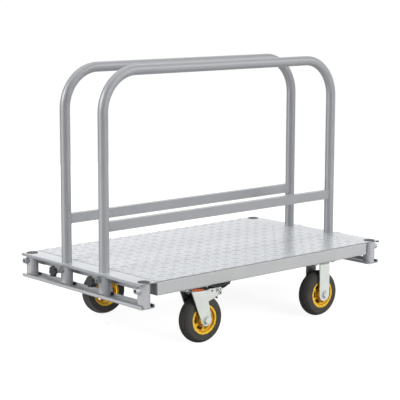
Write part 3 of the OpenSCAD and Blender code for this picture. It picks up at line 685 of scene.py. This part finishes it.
def moulded(slot, colour, shade, roughness, swing, pit_size, pit_depth, dusty, worn_colour, worn_share, hollow=None):
    """A mottled, dusty skin with worn edges: the colour swings to the shade, and the roughness by the swing. Where
    a hollow is given as a reach and a colour, recesses up to that deep take the colour as painted shade."""
    tree, shader, place = new_finish(slot, metallic=0.0, specular_ior_level=0.5)
    patches = use(tree, mottle, place, Size=PATCH_SIZE)["Mask"]
    skin = use(tree, mottle, place, Size=pit_size)["Mask"]
    worn = use(tree, edge_wear, place, Width=WORN_WIDTH, Chips=WORN_CHIPS)
    settled = use(tree, dust, place, Size=SETTLED_SIZE)["Mask"]
    tint = blend_colour(tree, patches, screen(*shade), screen(*colour))
    tint = cover(tree, tint, worn["Mask"], worn_share, worn_colour)
    tint = cover(tree, tint, settled, dusty, SETTLED_GREY)
    # Hollows take a dark colour here as painted shade.
    if hollow:
        reach, shade_colour = hollow
        tint = blend_colour(tree, use(tree, hollow_shade, place, Distance=reach)["Mask"], tint, screen(*shade_colour))
    rough = span(tree, patches, 0.0, 1.0, roughness - swing, roughness + swing)
    connect(tree, shader, tint, rough)
    raise_skin(tree, shader, skin, pit_depth, worn["Normal"])


# Reach and colour of the painted shade in the hub's windows.
HUB_WINDOW_SHADE = (13 * MM, (52, 16, 2))
# Slot, colour, shade, roughness and its swing, size and depth of pits, share of dust, worn colour and its share
moulded("tyre_black", (76, 75, 72), (62, 61, 59), 0.62, 0.08, 3 * MM, 0.12 * MM, 0.15, (84, 82, 78), 0.4)
moulded("hub_yellow", (255, 208, 66), (255, 199, 52), 0.32, 0.05, 6 * MM, 0.05 * MM, 0.06, (255, 214, 110), 0.4,
        HUB_WINDOW_SHADE)
moulded("knob_black", (52, 53, 55), (42, 43, 45), 0.38, 0.06, 1.2 * MM, 0.06 * MM, 0.10, (92, 92, 92), 0.35)
moulded("plug_black", (50, 52, 56), (40, 42, 46), 0.5, 0.06, 1.2 * MM, 0.06 * MM, 0.12, (96, 96, 96), 0.35)
moulded("shoe_black", (40, 40, 40), (32, 32, 32), 0.6, 0.06, 2 * MM, 0.10 * MM, 0.10, (84, 82, 78), 0.3)
moulded("pedal_black", (66, 70, 71), (56, 60, 61), 0.34, 0.05, 2.5 * MM, 0.05 * MM, 0.08, (150, 150, 150), 0.6)
moulded("lock_orange", (226, 102, 58), (214, 88, 46), 0.36, 0.05, 2.5 * MM, 0.05 * MM, 0.05, (170, 160, 150), 0.6)

# %% [markdown]
# The lock arms are orange, and from the bend on they are painted black as shade. A second material would need
# the arm's faces to be split there, so a mask does it. It is a plane across the cart, set off from the kingpins,
# which stand in the middle of the swivel plates.

# %% Painted shade on the roots of the lock arms
# Where the black painted shade begins, how soft its edge is, and its colour.
ROOT_SHADE_FROM = 25 * MM
ROOT_SHADE_EDGE = 0.5 * MM
ROOT_SHADE_BLACK = (44, 46, 48)
plate_low, plate_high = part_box("right_swivel_plate")
kingpin_x = (plate_low.x + plate_high.x) / 2


def shade_root(slot, start):
    """Blends a finish's colour to black where X is past the start, as painted shade."""
    tree = finishes[slot].node_tree
    shader = tree.nodes["Principled BSDF"]
    painted = shader.inputs["Base Color"].links[0].from_socket
    x = node(tree, "ShaderNodeSeparateXYZ", {0: node(tree, "ShaderNodeTexCoord").outputs["Object"]}).outputs["X"]
    past = span(tree, x, start - ROOT_SHADE_EDGE, start + ROOT_SHADE_EDGE)
    tree.links.new(blend_colour(tree, past, painted, screen(*ROOT_SHADE_BLACK)), shader.inputs["Base Color"])
    print(slot, "is black past x =", round(start, 4))


# The lock arms turn black as painted shade past the bend.
shade_root("lock_orange", kingpin_x + ROOT_SHADE_FROM)

# %% [markdown]
# On the real cart each part is coated before it is put together. Here the record says which finish a node takes,
# and each added piece has its slot noted on it, so two short loops dress everything and nothing is named twice.

# %% Dress the frame and the added pieces
for part in record["subparts"]:
    slots = frame["nodes"][part["node"]].data.materials
    slots.clear()
    slots.append(finishes[part["material_slot"]])
for piece in [o for o in bpy.data.objects if o.type == "MESH" and "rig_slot" in o]:
    piece.data.materials.append(finishes[piece["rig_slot"]])
print("finishes:", sorted(finishes))

# %% [markdown]
# Metal shows what stands round it, so the studio needs more than lamps: a white backdrop, paler sides, a ceiling
# that is a little dimmer, and a dark room round the photographer. A soft box on the photographer's left and one on
# the right draw light lines along the tubes, a key box above the left one lights their bends, and a black flag
# further round darkens their left edges. A picture wrapped round the world could hold all that, but a few
# directions with soft edges can be read and tuned. One node group holds the pattern, and the world and the floor
# both use it, so that reflections run on past the horizon.

# %% Group: the studio's pattern
CAMERA_TURN = math.radians(-41.47)
away = Vector((-math.sin(CAMERA_TURN), math.cos(CAMERA_TURN), 0.0))
ROOM_LEVEL = 0.14
SIDE_LEVEL = 0.66
CEILING_LEVEL = 0.8
ROOM_SPAN = (-0.95, -0.35)
BACKDROP_SPAN = (0.7, 0.95)
CEILING_SPAN = (0.2, 0.6)
# Turn from the photographer's place, rise, width as an angle, and level, of what stands about the studio
STUDIO_PIECES = {
    "soft_box": (-63, 0, 23, 0.62),
    "flag": (-125, 0, 30, -0.3),
    "right_box": (88, 22, 24, 0.55),
    "back_box": (180, 45, 30, 0.25),
    "key_box": (-68, 27, 20, 2.2),
}


def studio_way(turn, rise):
    """Unit direction at a turn from the photographer's place and a rise above the floor, in degrees."""
    turn, rise = CAMERA_TURN + math.radians(turn), math.radians(rise)
    return Vector((math.sin(turn) * math.cos(rise), -math.cos(turn) * math.cos(rise), math.sin(rise)))


def build_studio():
    """Brightness of a direction: the room's level towards the camera, the sides' level square to it and 1
    away from it, all less a fall to the ceiling's share as the direction climbs, plus each piece's level
    where the angle to the piece is less than its width, with a soft edge."""
    group, given, out = new_group("Studio", {"Vector": VECTOR}, {"Level": FLOAT})
    heading = node(group, "ShaderNodeVectorMath", {0: given.outputs["Vector"]}, operation="NORMALIZE").outputs[0]

    def toward(way):
        """Cosine of the angle between the heading and a way."""
        return node(group, "ShaderNodeVectorMath", {0: heading, 1: way}, operation="DOT_PRODUCT").outputs["Value"]

    room = span(group, toward(away), *ROOM_SPAN, ROOM_LEVEL, SIDE_LEVEL)
    backdrop = span(group, toward(away), *BACKDROP_SPAN, 0.0, 1.0 - SIDE_LEVEL)
    height = node(group, "ShaderNodeSeparateXYZ", {0: heading}).outputs["Z"]
    ceiling = span(group, height, *CEILING_SPAN, 1.0, CEILING_LEVEL)
    level = maths(group, "MULTIPLY", maths(group, "ADD", room, backdrop), ceiling)
    for turn, rise, width, strength in STUDIO_PIECES.values():
        edge, core = math.cos(math.radians(width)), math.cos(math.radians(width / 2))
        level = maths(group, "ADD", level, span(group, toward(studio_way(turn, rise)), edge, core, 0.0, strength))
    group.links.new(level, out.inputs["Level"])
    return group


studio = build_studio()
print("pieces about the studio:", list(STUDIO_PIECES))

# %% [markdown]
# The cart stands on a wide sheet of pale paper. The camera sees paper with enough glow of its own to be white,
# apart from the cart's soft shadow, and glossy surfaces see the studio's pattern in it, dimmer near the cart, where
# the deck shades it. Light Path tells the two kinds of ray apart, so no lamp has to be raised to whiten the floor.

# %% Floor
FLOOR_RADIUS = 90.0
FLOOR_POINTS = 64
rim = ring_directions(FLOOR_POINTS) * FLOOR_RADIUS
floor_mesh = bpy.data.meshes.new("floor")
floor_mesh.from_pydata(rim.tolist(), [], [list(range(FLOOR_POINTS))])
floor = bpy.data.objects.new("floor", floor_mesh)
bpy.context.scene.collection.objects.link(floor)
print("floor of radius", FLOOR_RADIUS, "m")

# %% Floor paper
FLOOR_GREY = 0.25
NEAR_GLOW, FAR_GLOW = 0.9, 0.97
NEAR_FLOOR, FAR_FLOOR = 2.0, 8.0
NEAR_SHEEN, FAR_SHEEN = 0.25, 0.8
SHADE_START, SHADE_END = 0.9, 2.4


def ray_kinds(tree):
    """1 for rays that come straight from the camera, and 1 for those from a gloss or a clear surface."""
    path = node(tree, "ShaderNodeLightPath").outputs
    return path["Is Camera Ray"], maths(tree, "MAXIMUM", path["Is Glossy Ray"], path["Is Transmission Ray"])


floor_paper = bpy.data.materials.new("floor_paper")
floor_paper.use_nodes = True
paper_tree = floor_paper.node_tree
paper = paper_tree.nodes["Principled BSDF"]
paper.inputs["Base Color"].default_value = (FLOOR_GREY, FLOOR_GREY, FLOOR_GREY, 1.0)
paper.inputs["Roughness"].default_value = 0.9
paper.inputs["Specular IOR Level"].default_value = 0.0
paper.inputs["Emission Strength"].default_value = 1.0
straight, gloss = ray_kinds(paper_tree)
floor_place = node(paper_tree, "ShaderNodeTexCoord").outputs["Object"]
distance = node(paper_tree, "ShaderNodeVectorMath", {0: floor_place}, operation="LENGTH").outputs["Value"]
shaded = span(paper_tree, distance, SHADE_START, SHADE_END, NEAR_SHEEN, FAR_SHEEN)
sheen = maths(paper_tree, "MULTIPLY", use(paper_tree, studio, floor_place)["Level"], shaded)
white = span(paper_tree, distance, NEAR_FLOOR, FAR_FLOOR, NEAR_GLOW, FAR_GLOW)
glow = maths(paper_tree, "MULTIPLY_ADD", straight, white, maths(paper_tree, "MULTIPLY", gloss, sheen))
paper_tree.links.new(glow, paper.inputs["Emission Color"])
floor_mesh.materials.append(floor_paper)
print("floor glow:", NEAR_GLOW, "near the cart and", FAR_GLOW, "far off")

# %% [markdown]
# Past the floor's rim is the world. It is white to the camera, it is the studio's pattern to a gloss, and to
# everything else it is a weak even fill, as light from a room's walls is.

# %% World
WORLD_FILL = 0.2
world = bpy.data.worlds.new("studio")
bpy.context.scene.world = world
world.use_nodes = True
sky = world.node_tree
straight, gloss = ray_kinds(sky)
shown = use(sky, studio, node(sky, "ShaderNodeTexCoord").outputs["Generated"])["Level"]
level = node(sky, "ShaderNodeMix", {0: gloss, 2: WORLD_FILL, 3: shown}, data_type="FLOAT").outputs[0]
level = node(sky, "ShaderNodeMix", {0: straight, 2: level, 3: 1.0}, data_type="FLOAT").outputs[0]
sky.links.new(level, sky.nodes["Background"].inputs["Color"])
sky.nodes["Background"].inputs["Strength"].default_value = 1.0
print("world fill:", WORLD_FILL)

# %% [markdown]
# Wide soft lamps do the lighting, from above, from the front, from the left and, weaker, from behind. One more
# sends a narrow beam along the floor, which reaches the far wheel under the deck. A lamp would also show as a
# square in the gloss, so all of them are hidden from it, and the studio's pattern stands for them there.

# %% Lamps
MIDDLE = Vector((0.0, 0.0, 0.4))
FAR_WHEEL = Vector((-0.22, 0.2, 0.025))
# Place, aim, size, spread of the beam in degrees, and power
LAMPS = {
    "overhead": ((-0.4, 0.4, 3.6), MIDDLE, 2.6, 180, 80.0),
    "front": ((0.4, -3.9, 1.7), MIDDLE, 2.2, 180, 120.0),
    "left_side": ((-2.8, -0.3, 1.3), MIDDLE, 1.2, 180, 43.0),
    "behind": ((1.4, 3.4, 0.9), MIDDLE, 1.6, 180, 40.0),
    "low_beam": ((-3.2, -1.7, 0.1), FAR_WHEEL, 0.1, 3, 0.12),
}
for name, (place, aim, size, spread, power) in LAMPS.items():
    lamp = bpy.data.lights.new(name, "AREA")
    lamp.size = size
    lamp.spread = math.radians(spread)
    lamp.energy = power
    holder = bpy.data.objects.new(name, lamp)
    holder.location = place
    holder.visible_glossy = False
    holder.rotation_euler = (aim - Vector(place)).to_track_quat("-Z", "Y").to_euler()
    bpy.context.scene.collection.objects.link(holder)
print("lamps:", {name: lamp[-1] for name, lamp in LAMPS.items()})

# %% [markdown]
# The camera stands where the photograph was taken from: nine degrees above the deck, to the left of its near
# side, with a long lens. Its place is given by angles and a distance round the middle of the deck's top, as a
# photographer would set a tripod, and then turned into Blender's matrix.

# %% Camera
CAMERA_RISE = math.radians(9.285)
CAMERA_ROLL = math.radians(0.155)
CAMERA_DISTANCE = 4.450
CAMERA_SHIFT = (-0.01673, 0.1533)
CAMERA_LENS = 120.7
SENSOR_WIDTH = 36.0
VIEW_REACH = 300.0
back = Vector((
    math.sin(CAMERA_TURN) * math.cos(CAMERA_RISE),
    -math.cos(CAMERA_TURN) * math.cos(CAMERA_RISE),
    math.sin(CAMERA_RISE),
))
right = Vector((math.cos(CAMERA_TURN), math.sin(CAMERA_TURN), 0.0))
up = back.cross(right)
spot = Vector((0.0, 0.0, deck_top)) + CAMERA_SHIFT[0] * right + CAMERA_SHIFT[1] * up + CAMERA_DISTANCE * back
camera = bpy.data.objects.new("camera", bpy.data.cameras.new("camera"))
turned_right = math.cos(CAMERA_ROLL) * right + math.sin(CAMERA_ROLL) * up
turned_up = back.cross(turned_right)
axes = Matrix((turned_right, turned_up, back)).transposed()
camera.matrix_world = Matrix.Translation(spot) @ axes.to_4x4()
camera.data.lens = CAMERA_LENS
camera.data.sensor_width = SENSOR_WIDTH
camera.data.clip_end = VIEW_REACH
bpy.context.scene.collection.objects.link(camera)
bpy.context.scene.camera = camera
bpy.context.scene.view_settings.view_transform = "Standard"
print("camera at", [round(c, 3) for c in spot])
